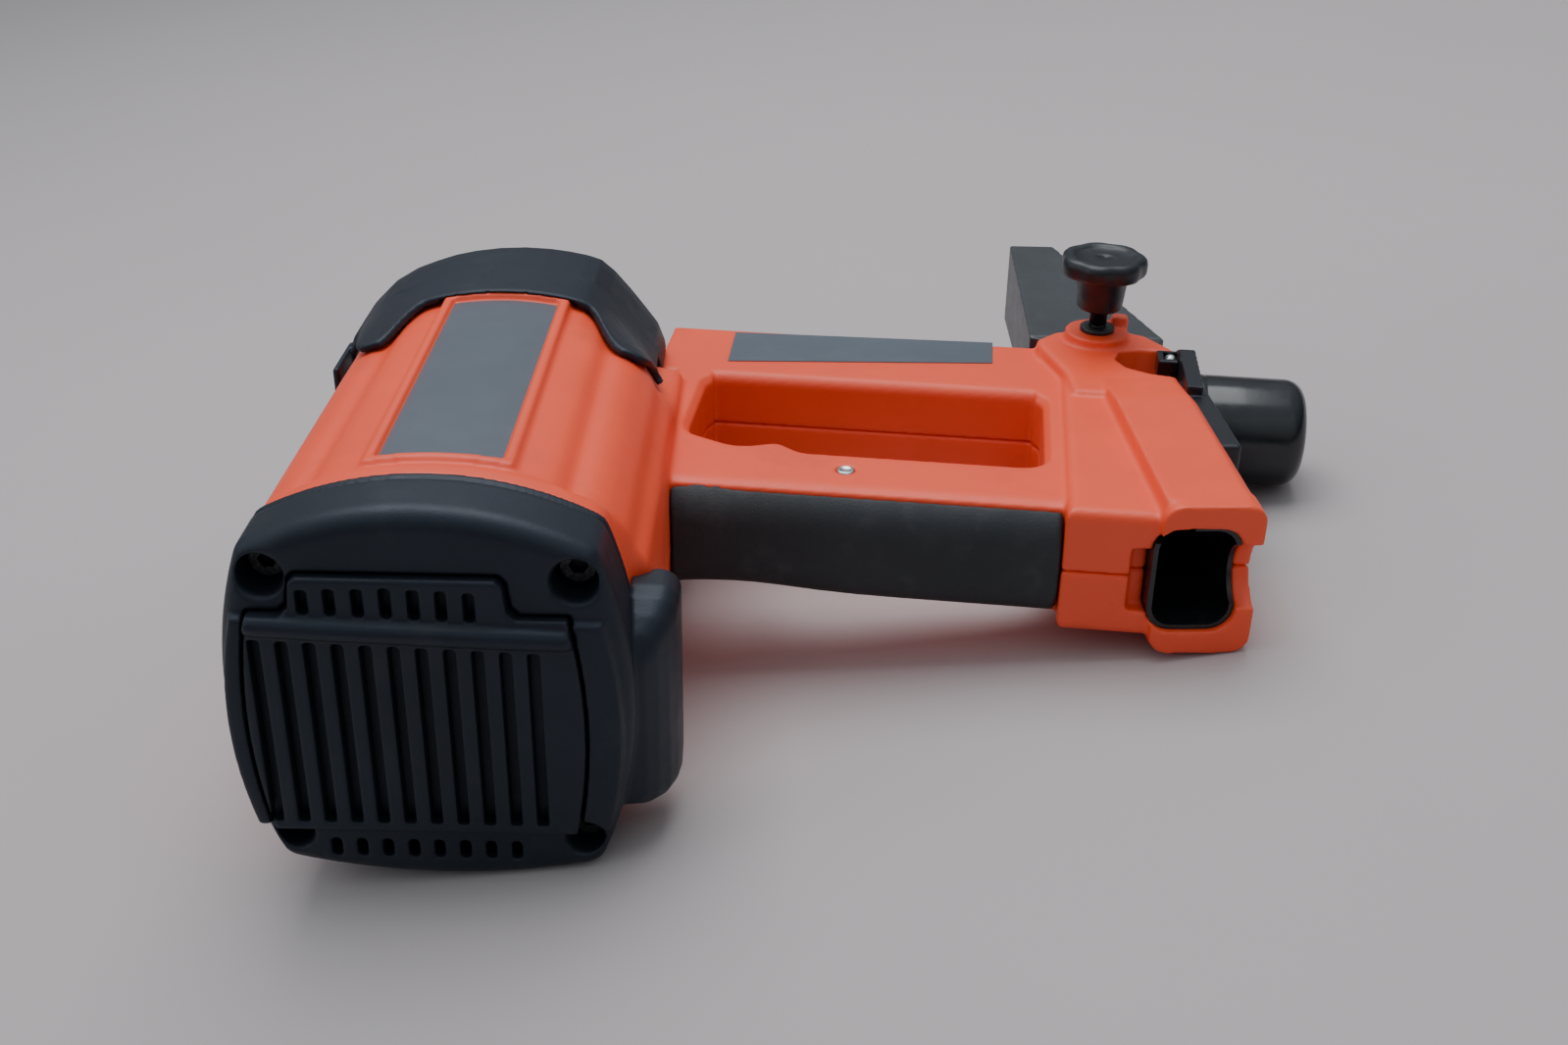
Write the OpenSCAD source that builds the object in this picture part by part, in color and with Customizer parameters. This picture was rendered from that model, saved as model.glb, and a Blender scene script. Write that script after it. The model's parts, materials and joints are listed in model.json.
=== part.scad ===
// Cordless combustion fastening tool lying on its left side.
// Tool frame, before it is laid down: +Y is the drive direction, +X runs from the drive axis
// to the handle, +Z is the tool's right side, and the origin is on the drive axis at the rear.

/* [Resting pose] */
// Angle the tool leans over when it rests on its cap, its hood and the lip of its base
rest_lean = 8.3; // [8:0.1:8.5]

/* [Body] */
// Half the thickness of the domed body
body_half_t = 63.5; // [63:0.25:64]
// Half the width of the body
body_half_w = 66; // [65:0.5:67]
// Radius of the domed top and bottom of body, cap and hood
dome_r = 110; // [105:1:120]
// Front end of the orange body along the drive axis
body_front = 205; // [204:0.5:206]
// Wall thickness of the two housing halves
wall = 3; // [2.5:0.25:3.5]

/* [Rear cap] */
// Width of the cap
cap_w = 125; // [122:1:128]
// Half the thickness of the cap and of the front hood
cap_half_t = 66.5; // [66:0.25:67]
// Depth of the cap along the drive axis
cap_depth = 30; // [29:0.5:31]
// Radius of the cap's flatter underside
under_r = 200; // [190:5:210]
// Distance of the cap screws from the drive axis, across
screw_x = 46; // [45.5:0.5:46.5]
// Height of the upper cap screws above the drive axis
screw_up = 44.5; // [44:0.5:46]
// Depth of the lower cap screws below the drive axis
screw_down = 48.5; // [47:0.5:48.5]
// Number of long slots in the grille
slots = 11; // [7:1:12]

/* [Handle] */
// Angle the handle rakes back from square to the drive axis
rake = 6; // [5:0.5:7]
// Half the thickness of the handle and of the front rail
handle_half_t = 21.5; // [21:0.25:22]
// Depth of the front rail
rail_d = 50; // [49:0.5:51]
// Clear depth of the hand window
window_d = 65; // [64:0.5:65]
// Depth of the grip's core
grip_d = 31; // [30:0.5:32]
// Length of handle and rail, from the body to the base
handle_len = 148; // [147:0.5:149]

/* [Base] */
// Half the thickness of the base
base_half_t = 24; // [23.5:0.25:24.5]
// Half the thickness of the battery housing
pocket_half_t = 29; // [28.5:0.25:29.5]
// Angle of the battery housing to the rest of the base
pocket_skew = 9.2; // [8:0.2:10]

/* [Drive] */
// Bore of the drive cylinder
bore_r = 26; // [25:0.5:27]
// Running clearance of the piston in the cylinder
piston_gap = 0.15; // [0.1:0.05:0.3]
// Travel of the work-contact probe and the combustion sleeve
probe_travel = 19.5; // [15:0.5:19.5]

/* [Fuel] */
// Radius of the fuel can
can_r = 16; // [14:0.5:16]

/* [Hidden] */
$fn = 72;

orange = [0.93, 0.36, 0.14];
charcoal = [0.17, 0.19, 0.21];
black = [0.08, 0.08, 0.09];
steel = [0.72, 0.72, 0.70];
cast = [0.66, 0.66, 0.64];

// Where the tool lies: the row's origin is under the middle of its box
centre_x = 122.15;
centre_y = 186;
rest_lift = dome_r - (dome_r - cap_half_t) * cos(rest_lean);

// The handle frame: u along the handle, v along the drive direction before the rake
pivot_x = 66;
pivot_y = 214;
handle_rear = -window_d - grip_d;
base_end = 195;
rail_v = rail_d / 2;
pocket_u = 178;
knob_u = 163;
knob_v = 50;
pad_top = 30;

// Drive stack along Y
grille_rear = 1.5;
cap_rear = 3;
head_y = 30;
head_t = 8;
flange_y = 92;
cyl_front = 192;
flange_t = 8;
sleeve_r = 43;
rod_z = 37;
piston_y = 94;
piston_t = 10;
sleeve_rear = head_y + head_t + 0.5 + probe_travel;
ring_front = flange_y + flange_t + 8.5 + probe_travel;
yoke_y = 240;
yoke_t = 6;
barrel_end = 350;

module placed() translate([-centre_x, -centre_y, rest_lift]) rotate([0, rest_lean, 0]) children();
module handle_frame() translate([pivot_x, pivot_y, 0]) rotate([0, 0, -rake]) children();
module pocket_frame() handle_frame() translate([pocket_u, 0, 0]) rotate([0, 0, pocket_skew]) children();

// Extrusions and rods along the two long directions
module along_y(y0, y1) translate([0, y1, 0]) rotate([90, 0, 0]) linear_extrude(y1 - y0) children();
module rod_y(r, y0, y1, x = 0, z = 0) translate([x, y0, z]) rotate([-90, 0, 0]) cylinder(r = r, h = y1 - y0);
module tube_y(ro, ri, y0, y1) difference() {
    rod_y(ro, y0, y1);
    rod_y(ri, y0 - 1, y1 + 1);
}
module rod_x(r, x0, x1, y = 0, z = 0) translate([x0, y, z]) rotate([0, 90, 0]) cylinder(r = r, h = x1 - x0);
module slab(lo, hi) translate(lo) cube(hi - lo);
module mirrored_z() {
    children();
    mirror([0, 0, 1]) children();
}

// A rectangle with round corners, centred
module round_rect(w, h, r) {
    square([w - 2 * r, h], center = true);
    square([w, h - 2 * r], center = true);
    for (x = [-1, 1], y = [-1, 1]) translate([x * (w / 2 - r), y * (h / 2 - r)]) circle(r);
}
// A rectangle with round corners, between two corners
module round_box(lo, hi, r) translate((lo + hi) / 2) round_rect(hi.x - lo.x, hi.y - lo.y, r);

// Socket-head screw along Y with its head at the rear
module socket_screw(r, head_r, head_h, y0, y1) difference() {
    union() {
        rod_y(head_r, y0, y0 + head_h);
        rod_y(r, y0, y1);
    }
    translate([0, y0 - 1, 0]) rotate([-90, 0, 0]) cylinder(r = head_r * 0.55, h = head_h * 0.6 + 1, $fn = 6);
}

// Close coil spring along Y: stacked rings joined by a thin sleeve
module coil_y(r, wire, y0, y1, turns) {
    pitch = (y1 - y0 - 2 * wire) / (turns - 1);
    tube_y(r + wire * 0.3, r - wire * 0.3, y0 + wire, y1 - wire);
    for (i = [0:turns - 1]) translate([0, y0 + wire + i * pitch, 0]) rotate([-90, 0, 0])
        rotate_extrude() translate([r, 0]) circle(wire, $fn = 20);
}

// Cross-section of the body: a dome, a groove, a shoulder lobe and a side strip
function dome_z(x) = body_half_t - dome_r + sqrt(dome_r * dome_r - x * x);
body_quarter = concat(
    [for (x = [0:6:36]) [x, dome_z(x)]],
    [[40, 52], [45, 52.5], [52, 49.5], [57.5, 43], [60, 36], [64, 31], [65.5, 20], [body_half_w, 0]]
);
function loop4(q) = let (n = len(q)) concat(
    q,
    [for (i = [n - 2:-1:0]) [q[i].x, -q[i].y]],
    [for (i = [1:n - 1]) [-q[i].x, -q[i].y]],
    [for (i = [n - 2:-1:1]) [-q[i].x, q[i].y]]
);
module body_outline() polygon(loop4(body_quarter));

// Cross-section of the cap: domed top and bottom, bowed sides and round corners
side_r = 150;
cap_corner = 16;
under_corner_r = 77.5;
// The underside is set so that its lowest point just meets the floor at rest
under_half_t = under_r - (under_r - rest_lift) / cos(rest_lean);
module bowed(half, shrink = 0) intersection() {
    translate([half - side_r, 0]) circle(side_r - shrink, $fn = 180);
    translate([side_r - half, 0]) circle(side_r - shrink, $fn = 180);
}
module cap_outline(shrink = 0) intersection() {
    round_rect(cap_w - 2 * shrink, 2 * cap_half_t - 2 * shrink, cap_corner);
    bowed(cap_w / 2, shrink);
    translate([0, cap_half_t - dome_r]) circle(dome_r - shrink, $fn = 180);
    translate([0, under_r - under_half_t]) circle(under_r - shrink, $fn = 240);
    circle(under_corner_r - shrink, $fn = 180);
}
module at_cap_screws() for (x = [-1, 1], z = [-screw_down, screw_up]) translate([x * screw_x, 0, z]) children();

module along_u(u0, u1) translate([u0, 0, 0]) rotate([90, 0, 90]) linear_extrude(u1 - u0) children();

// ---------- Housing ----------
collar_front = 42;
wall_rear = 189;
post_front = 58;
flange_hole_r = 50;
cyl_hole_r = 43;
bore_clear = 17.5;
grip_edge = -94;
grip_back = -104;
cavity_front = -71;
cavity_back = -92;
trigger_u = 28;
trigger_half_u = 7.5;
trigger_half_z = 7;
arm_z0 = -8;
arm_z1 = 20;
pin_u = 70;
pin_v = -79;
hood_cut = 0.5;

// Plan outline of the hand window with its finger recess
module window_outline() {
    round_box([8, -57], [141, 0], 9);
    round_box([54, -window_d], [141, -20], 8);
    translate([29, -50]) circle(13);
}
// Cross-section of the grip with its rubber
module grip_section() round_box([grip_back, -handle_half_t], [-42, handle_half_t], 14);
// Plan outline of the base, beside the battery housing
module base_outline() polygon([
    [handle_len, -104], [handle_len, 52], [154, 60], [184, 62], [194, 50], [base_end, 48],
    [base_end, -8], [180, -104]
]);
// Cross-section of the battery housing and of the pocket in it
module pocket_block_section() round_box([-17, -pocket_half_t], [20, pocket_half_t], 9);
module pocket_section(grow = 0) {
    round_box([-15 - grow, -19 - grow], [13 + grow, 19 + grow], 8);
    for (z = [-13, 13]) translate([-1, z]) circle(10 + grow);
}
// Battery housing extrusions run along the pocket's own y
module along_pocket(y0, y1) pocket_frame() along_y(y0, y1) children();

module at_housing_screws() handle_frame()
    for (p = [[20, 3.6], [80, 3.6], [135, 3.6], [50, 46.4], [120, 46.4], [60, -67.8], [130, -67.8], [155, -5]])
        translate([p.x, p.y, 0]) children();
screw_head_z = -18.5;

module housing_outer() {
    along_y(head_y, collar_front) cap_outline(1.2);
    along_y(collar_front - 1, body_front) body_outline();
    handle_frame() {
        along_u(-8, handle_len + 2) round_box([0, -handle_half_t], [rail_d, handle_half_t], 10);
        along_u(-14, handle_len + 2) intersection() {
            grip_section();
            translate([grip_edge, -40]) square([100, 80]);
        }
        slab([-14, grip_back + 5, -15], [handle_len + 2, grip_edge + 5, 15]);
        slab([-6, -60, -handle_half_t], [9, 30, handle_half_t]);
        slab([139, -60, -handle_half_t], [handle_len + 2, 30, handle_half_t]);
        translate([0, 0, -base_half_t]) linear_extrude(2 * base_half_t) base_outline();
        translate([knob_u, knob_v, base_half_t - 1]) cylinder(r = 13, h = pad_top - base_half_t + 1);
        translate([pocket_u - 15, -96, -base_half_t]) cube([20, 90, 2 * base_half_t]);
    }
    along_pocket(-106, -8) pocket_block_section();
}
module housing_inner() {
    // collar, body and front wall
    along_y(head_y - 1, head_y + head_t + 0.3) cap_outline(4.2);
    difference() {
        union() {
            along_y(head_y + head_t, collar_front + 0.5) cap_outline(4.2);
            along_y(collar_front, wall_rear) offset(delta = -wall) body_outline();
        }
        at_cap_screws() rod_y(6.5, head_y, post_front);
    }
    at_cap_screws() rod_y(2.6, head_y, post_front - 2);
    rod_y(cyl_hole_r, wall_rear - 1, body_front + 1);
    rod_y(flange_hole_r, cyl_front - 0.5, body_front + 1);
    // windows for the nameplate and the rail label
    nameplate_recess();
    rail_label_recess();
    handle_frame() {
        translate([0, 0, -40]) linear_extrude(80) window_outline();
        rod_x(bore_clear, 2, base_end + 1, rail_v, 0);
        slab([10, cavity_back, -18], [146, cavity_front, 18]);
        slab([trigger_u - trigger_half_u - 0.4, cavity_front - 1, -trigger_half_z - 0.4],
             [trigger_u + trigger_half_u + 0.4, -50, trigger_half_z + 0.4]);
        translate([pin_u, pin_v, -30]) cylinder(r = 3.4, h = 60);
        slab([150.5, -98, -20], [159.5, -12, 20]);
        slab([149.5, 44, arm_z0 - 0.5], [180, 70, arm_z1 + 0.5]);
        translate([knob_u, knob_v, -30]) cylinder(r = 3.3, h = 80);
        // oval recess on top of the base, around the detent
        translate([0, 0, 22]) linear_extrude(10) {
            round_box([172, 14], [197, 41], 11);
            translate([184, 24]) square([13, 17]);
        }
    }
    along_pocket(-107, -10) pocket_section(1.5);
    pocket_frame() rod_x(12, 10, 22, -107, 1.5);
    pocket_frame() slab([-16, -104, 14], [-3, -90, 30]);
    at_housing_screws() {
        translate([0, 0, screw_head_z - 30]) cylinder(r = 3.3, h = 30);
        translate([0, 0, screw_head_z - 1]) cylinder(r = 1.6, h = 32);
    }
}
module housing_solid() difference() {
    housing_outer();
    housing_inner();
}
module half_space(side) translate([-200, -100, side > 0 ? 0 : -120]) cube([600, 600, 120]);
module housing_right() color(orange) placed() intersection() {
    housing_solid();
    half_space(1);
}
module housing_left() color(orange) placed() intersection() {
    housing_solid();
    half_space(-1);
}
module housing_screws() color(steel) placed() at_housing_screws() difference() {
    union() {
        translate([0, 0, screw_head_z - 2.5]) cylinder(r = 3, h = 2.5);
        translate([0, 0, screw_head_z]) cylinder(r = 1.5, h = 28);
    }
    translate([0, 0, screw_head_z - 3]) cylinder(r = 1.5, h = 1.8, $fn = 6);
}

// Blank nameplate let into the dome, and the raised rim around it
plate_w = 39;
plate_y0 = 47;
plate_y1 = 180;
plate_t = 1;
module dome_skin(r0, r1, half_w, y0, y1) intersection() {
    translate([0, 0, body_half_t - dome_r]) difference() {
        rod_y(r1, y0, y1);
        rod_y(r0, y0 - 1, y1 + 1);
    }
    slab([-half_w, y0, 0], [half_w, y1, 100]);
}
module nameplate_recess() dome_skin(dome_r - plate_t, dome_r + 2, plate_w / 2 + 0.2, plate_y0 - 0.2, plate_y1 + 0.2);
module nameplate() color([0.55, 0.56, 0.58]) placed()
    dome_skin(dome_r - plate_t, dome_r, plate_w / 2, plate_y0, plate_y1);
module label_outline(grow = 0) offset(delta = grow)
    polygon([[81, 226], [189, 229], [191, 251], [83, 257]]);
module rail_label_recess() translate([0, 0, handle_half_t - 0.6]) linear_extrude(4) label_outline(0.2);
module rail_label() color([0.2, 0.22, 0.25]) placed() translate([0, 0, handle_half_t - 0.6])
    linear_extrude(0.8) label_outline();

// Rubber over the back of the grip, and the steel pin through it
module grip_cover() color([0.24, 0.26, 0.28]) placed() difference() {
    handle_frame() along_u(1.5, handle_len - 0.4) intersection() {
        grip_section();
        translate([grip_back - 5, -40]) square([grip_edge - grip_back + 5 - 0.2, 80]);
    }
    handle_frame() slab([0, grip_back + 4.8, -15.2], [handle_len + 2, 0, 15.2]);
    along_y(80, 160) offset(delta = 0.3) body_outline();
}
module handle_pin() color(steel) placed() handle_frame() translate([pin_u, pin_v, -handle_half_t - 0.3])
    cylinder(r = 3.3, h = 2 * handle_half_t + 0.6);

// ---------- Rear cap ----------
cap_face = 2.5;
cap_wall_front = 9;
panel_x = [-55, 48];
panel_z = [-48, 33];
slot_w = 3.2;
slot_x0 = -49.5;
slot_pitch = 8.27;
module grille_outline(shrink = 0) {
    cx = (panel_x[0] + panel_x[1]) / 2;
    half = (panel_x[1] - panel_x[0]) / 2;
    intersection() {
        translate([cx, 0]) bowed(half, shrink);
        round_box([panel_x[0] + shrink, panel_z[0] + shrink], [panel_x[1] - shrink, panel_z[1] - shrink], 4);
    }
    round_box([-37.5 + shrink, 20], [25.5 - shrink, 46 - shrink], 3);
}
module slot(x, z0, z1, y0, y1) slab([x - slot_w / 2, y0, z0], [x + slot_w / 2, y1, z1]);
module rear_cap() color(charcoal) placed() difference() {
    union() {
        along_y(cap_face, cap_depth) cap_outline();
        along_y(12, cap_depth) round_box([50, -44], [77, 28], 6);
        along_y(cap_depth - 1, 44) round_box([66.6, -44], [77, 28], 5);
    }
    difference() {
        along_y(cap_wall_front, cap_depth + 1) cap_outline(4);
        at_cap_screws() rod_y(9, 0, cap_depth + 2);
    }
    at_cap_screws() {
        rod_y(6.2, 0, 20);
        rod_y(2.8, 0, cap_depth + 2);
    }
    along_y(0, cap_face + 3.5) grille_outline(-0.3);
    along_y(0, cap_depth) grille_outline(4);
    for (i = [0:7]) slot(-33 + i * 8.15, -57, -49.5, 0, cap_depth);
}
module cap_grille() color(charcoal) placed() difference() {
    union() {
        along_y(0, cap_face + 3.5) grille_outline();
        along_y(cap_face + 3, cap_wall_front) grille_outline(4.5);
    }
    along_y(3.5, cap_wall_front + 1) round_box([-50, -43], [43.5, 28], 3);
    for (i = [0:slots - 1]) slot(slot_x0 + (i + (11 - slots) / 2) * slot_pitch, -44, 22, -1, 12);
    for (i = [0:6]) slot(-33.5 + i * 8.13, 33, 42, -1, 12);
}
module cap_screws() color([0.2, 0.2, 0.2]) placed() at_cap_screws() socket_screw(2.5, 5.5, 6, 14, post_front - 3);
module air_filter() color([0.75, 0.73, 0.68]) placed() along_y(9.5, 14.5) round_box([-36, -44], [36, 44], 6);

// ---------- Front hood ----------
hood_rear = 188;
hood_front = 238;
hood_wall = 3;
hood_upper = concat(
    [[-68, 0], [-68, 28], [-55, 44.5], [-36, 58.5]],
    [for (x = [-30:6:24]) [x, cap_half_t - dome_r + sqrt(dome_r * dome_r - x * x)]],
    [[30, 61], [48, 40], [56, 28], [56, 0]]
);
module hood_outline() {
    polygon(concat(hood_upper, [for (i = [len(hood_upper) - 2:-1:1]) [hood_upper[i].x, -hood_upper[i].y]]));
}
module front_hood() color(charcoal) placed() difference() {
    union() {
        along_y(body_front + 0.5, hood_front) hood_outline();
        along_y(hood_rear, body_front + 6) intersection() {
            hood_outline();
            translate([-41, -80]) square([79, 160]);
        }
        slab([-69.5, 184, 19], [-66.6, body_front + 4, 32]);
    }
    along_y(hood_rear - 2, body_front + 1) offset(delta = hood_cut) body_outline();
    along_y(body_front + 0.8, hood_front + 1) offset(delta = -hood_wall) hood_outline();
    handle_frame() slab([-24, -20, -24], [60, 60, 24]);
}

// ---------- Fan and cylinder head ----------
plug_x = 33;
module cylinder_head() color(cast) placed() difference() {
    union() {
        rod_y(46, head_y, head_y + head_t);
        for (x = [-1, 1], z = [-screw_down, screw_up]) intersection() {
            rotate([0, -x * atan2(z, screw_x), 0]) translate([0, head_y, 0]) slab([-80, 0, -7], [80, 6, 7]);
            slab([min(0, x * 60), 0, min(0, z * 2)], [max(0, x * 60), 60, max(0, z * 2)]);
            along_y(head_y, head_y + head_t) intersection() {
                round_rect(2 * screw_x + 11, 2 * screw_down + 11, 5.5);
                cap_outline(5.2);
            }
        }
        rod_y(17, 20, head_y + 1);
    }
    rod_y(14, 19, 34);
    rod_y(2.3, 30, head_y + head_t + 1);
    rod_y(5.2, head_y - 1, head_y + head_t + 1, plug_x);
    at_cap_screws() rod_y(2.8, head_y - 1, head_y + head_t + 1);
}
module fan_motor() color([0.5, 0.5, 0.52]) placed() difference() {
    rod_y(13.9, 16, 34);
    rod_y(2.3, 28, 35);
}
module fan() color([0.15, 0.15, 0.16]) placed() {
    rod_y(2, 29, 52);
    difference() {
        rod_y(6, 43, 52);
        rod_y(1.9, 30, 60);
    }
    for (i = [0:5]) rotate([0, 60 * i, 0]) translate([4, 47, 0]) rotate([35, 0, 0])
        slab([0, -0.8, -5], [18, 0.8, 5]);
}
module spark_plug() color([0.85, 0.85, 0.82]) placed() {
    rod_y(5, head_y, 42, plug_x);
    rod_y(6.5, 26, head_y, plug_x);
    rod_y(3.5, 17, 26, plug_x);
    rod_y(1, 42, 45, plug_x);
}

// ---------- Combustion chamber, cylinder and piston ----------
rod_hole_r = 3.2;
module at_lift_rods() for (z = [-rod_z, rod_z]) translate([0, 0, z]) children();
nose_screw_r = 36;
module at_nose_screws() for (i = [0:3]) rotate([0, 45 + 90 * i, 0]) translate([nose_screw_r, 0, 0]) children();
module combustion_sleeve() color(cast) placed() {
    tube_y(sleeve_r, 40, sleeve_rear, ring_front);
    tube_y(sleeve_r - 1, 30.5, ring_front - 4, ring_front);
}
module drive_cylinder() color(steel) placed() difference() {
    union() {
        rod_y(29.5, flange_y, cyl_front);
        rod_y(39.7, flange_y, flange_y + flange_t);
        rod_y(42, cyl_front - flange_t, cyl_front);
    }
    rod_y(bore_r, flange_y - 1, cyl_front + 1);
    for (i = [0:7]) rotate([0, 22.5 + 45 * i, 0]) rod_x(2.5, 20, 32, 168, 0);
    at_lift_rods() rod_y(rod_hole_r, cyl_front - flange_t - 1, cyl_front + 1);
    at_nose_screws() rod_y(1.9, cyl_front - flange_t - 1, cyl_front + 1);
}
module piston() color([0.6, 0.6, 0.6]) placed() difference() {
    rod_y(bore_r - piston_gap, piston_y, piston_y + piston_t);
    tube_y(bore_r + 1, bore_r - 2.5, piston_y + 4, piston_y + 6.5);
    rod_y(4, piston_y + 2, piston_y + 20);
}
module piston_ring() color([0.3, 0.3, 0.3]) placed()
    tube_y(bore_r - 0.05, bore_r - 2.4, piston_y + 4.05, piston_y + 6.45);
module driver_blade() color(steel) placed() rod_y(3.95, piston_y + 2, 278);
module bumper() color([0.12, 0.12, 0.12]) placed() difference() {
    rod_y(bore_r - 0.3, cyl_front - 14, cyl_front);
    rod_y(7, 0, 400);
    translate([0, cyl_front - 15, 0]) rotate([-90, 0, 0]) cylinder(r1 = 14, r2 = 7, h = 7);
}

// ---------- Nose ----------
barrel_r = 11;
barrel_bore = 5;
probe_in = 11.3;
probe_out = 15;
module nose_flange() color(cast) placed() difference() {
    rod_y(flange_hole_r - 0.5, cyl_front, cyl_front + 8);
    rod_y(barrel_bore, 100, 300);
    at_lift_rods() rod_y(rod_hole_r, cyl_front - 1, cyl_front + 9);
    at_nose_screws() rod_y(2.3, cyl_front - 1, cyl_front + 9);
}
module nose_screws() color([0.25, 0.25, 0.25]) placed() at_nose_screws() difference() {
    union() {
        rod_y(1.8, cyl_front - flange_t + 1, cyl_front + 8);
        rod_y(4, cyl_front + 8, cyl_front + 12);
    }
    translate([0, cyl_front + 10, 0]) rotate([-90, 0, 0]) cylinder(r = 1.8, h = 5, $fn = 6);
}
module nose_barrel() color(steel) placed() tube_y(barrel_r, barrel_bore, cyl_front + 8, barrel_end);
module probe() color([0.35, 0.36, 0.38]) placed() difference() {
    union() {
        rod_y(probe_out, yoke_y, 366);
        translate([0, 366, 0]) rotate([-90, 0, 0]) cylinder(r1 = probe_out, r2 = 13, h = 6);
        slab([-6, yoke_y, -42], [6, yoke_y + yoke_t, 42]);
    }
    rod_y(probe_in, yoke_y - 1, 380);
    at_lift_rods() rod_y(2.5, yoke_y - 1, yoke_y + yoke_t + 1);
    slab([-4, 262, 0], [4, 330, 20]);
}
module lift_rods() color(steel) placed() at_lift_rods() {
    rod_y(2.5, ring_front, yoke_y + yoke_t);
    rod_y(4, yoke_y + yoke_t, yoke_y + yoke_t + 2.5);
}
module probe_spring() color(steel) placed() coil_y(14.2, 1.1, cyl_front + 8.2, yoke_y - 0.2, 7);

// ---------- Fuel ----------
can_front = 199;
module fuel_can() color([0.8, 0.8, 0.82]) placed() handle_frame() {
    rod_x(can_r, 32, can_front - 3, rail_v, 0);
    rod_x(can_r - 2, 28.5, can_front, rail_v, 0);
    rod_x(3, 24.5, 30, rail_v, 0);
}
module metering_valve() color(cast) placed() handle_frame() difference() {
    slab([2.5, rail_v - 12, -12], [26, rail_v + 12, 12]);
    rod_x(3.2, 18, 27, rail_v, 0);
}
module can_spring() color(steel) placed() handle_frame() translate([0, rail_v, 0]) rotate([0, 0, -90])
    coil_y(12, 1.1, can_front + 0.2, 245.8, 6);
plate_u0 = 195.4;
plate_u1 = 202;
module end_plate() color(black) placed() handle_frame() difference() {
    along_u(plate_u0, plate_u1)
        polygon([[-4, -26], [38, -26], [50, -16], [50, 18], [36, 30], [-4, 30]]);
    rod_x(19.5, plate_u0 - 1, plate_u1 + 1, rail_v, 0);
}
module fuel_cap() color(black) placed() handle_frame() translate([0, rail_v, 0]) rotate([0, 90, 0]) difference() {
    rotate_extrude() {
        translate([0, 202.5]) square([22.5, 38.5]);
        translate([0, 240]) square([14.5, 9]);
        intersection() {
            translate([14.5, 241]) circle(8);
            translate([0, 240]) square([40, 20]);
        }
        translate([0, 196]) square([19.2, 8]);
    }
    translate([0, 0, 195]) cylinder(r = 17, h = 51);
}
module detent_clip() color(black) placed() handle_frame() difference() {
    slab([187, 27, 22], [195, 39, 27]);
    slab([189.2, 29.5, 21], [196, 36.5, 28]);
}
module detent_ball() color(steel) placed() handle_frame() translate([192.3, 33, 24.9]) sphere(2.8);

// ---------- Trigger and electrics ----------
trigger_travel = 6;
module trigger() color(black) placed() handle_frame() difference() {
    union() {
        slab([trigger_u - trigger_half_u, -72, -trigger_half_z], [trigger_u + trigger_half_u, -52, trigger_half_z]);
        slab([trigger_u - trigger_half_u - 4, -74, -9], [trigger_u + trigger_half_u + 4, -71.4, 9]);
    }
    translate([trigger_u, -44, -10]) cylinder(r = 11, h = 20);
}
module trigger_spring() color(steel) placed() handle_frame() translate([trigger_u, 0, 0])
    coil_y(3, 0.5, -85.9, -74.1, 5);
module trigger_switch() color(black) placed() handle_frame() slab([18, -91.8, -7], [40, -86, 7]);
module spark_unit() color([0.2, 0.25, 0.3]) placed() handle_frame() {
    slab([84, -91.5, -9], [124, -73, 9]);
    rod_x(3, 124, 132, -82, 0);
}
module control_board() color([0.1, 0.35, 0.2]) placed() handle_frame() {
    slab([152, -95, -17], [153.6, -15, 17]);
    for (v = [-88, -66, -44, -28]) slab([153.5, v, -8], [157.5, v + 12, 8]);
}
module battery_liner() color(black) placed() difference() {
    along_pocket(-104, -10.2) pocket_section(1.4);
    along_pocket(-107, -13) pocket_section();
    pocket_frame() rod_x(13, 10, 22, -107, 1.5);
    pocket_frame() slab([-17, -106, 13.8], [-2.8, -89.8, 30]);
}
module battery_contacts() color([0.8, 0.65, 0.3]) placed() pocket_frame()
    for (z = [-10, -3.5, 3.5, 10]) slab([-8, -20, z - 0.8], [4, -13, z + 0.8]);

// ---------- Support arm and clamp knob ----------
module support_arm() color([0.26, 0.27, 0.29]) placed() difference() {
    union() {
        translate([0, 0, arm_z0]) linear_extrude(arm_z1 - arm_z0) {
            polygon([[208, 262], [208, 355], [228, 355], [265, 262], [262, 257], [214, 259]]);
            translate([pivot_x, pivot_y]) rotate(-rake) translate([152, 44.4]) square([26, 19]);
        }
        slab([208.4, 350, arm_z1 - 4], [224, 354.6, arm_z1 + 9]);
    }
    handle_frame() translate([knob_u, knob_v, -20]) cylinder(r = 3.3, h = 60);
    handle_frame() translate([knob_u, knob_v, arm_z0 - 1]) cylinder(r = 5.3, h = 6, $fn = 6);
    rod_y(3.2, 331, 356, 217, 6);
}
module knob_nut() color(steel) placed() handle_frame() translate([knob_u, knob_v, arm_z0 + 0.2]) difference() {
    cylinder(r = 5.2, h = 4.6, $fn = 6);
    translate([0, 0, -1]) cylinder(r = 3.05, h = 8);
}
module knob() color(black) placed() handle_frame() translate([knob_u, knob_v, 0]) difference() {
    union() {
        translate([0, 0, 54.5]) linear_extrude(8.5) {
            circle(14);
            for (i = [0:6]) rotate(i * 360 / 7) translate([12, 0]) circle(5);
        }
        translate([0, 0, 40]) cylinder(r1 = 8.8, r2 = 9.4, h = 15);
        translate([0, 0, 33]) cylinder(r = 4.5, h = 8);
    }
    translate([0, 0, 32]) cylinder(r = 3, h = 15);
    translate([0, 0, 61.5]) cylinder(r1 = 10, r2 = 12, h = 3);
}
module knob_screw() color(steel) placed() handle_frame() translate([knob_u, knob_v, -7]) cylinder(r = 3, h = 53.5);
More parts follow.
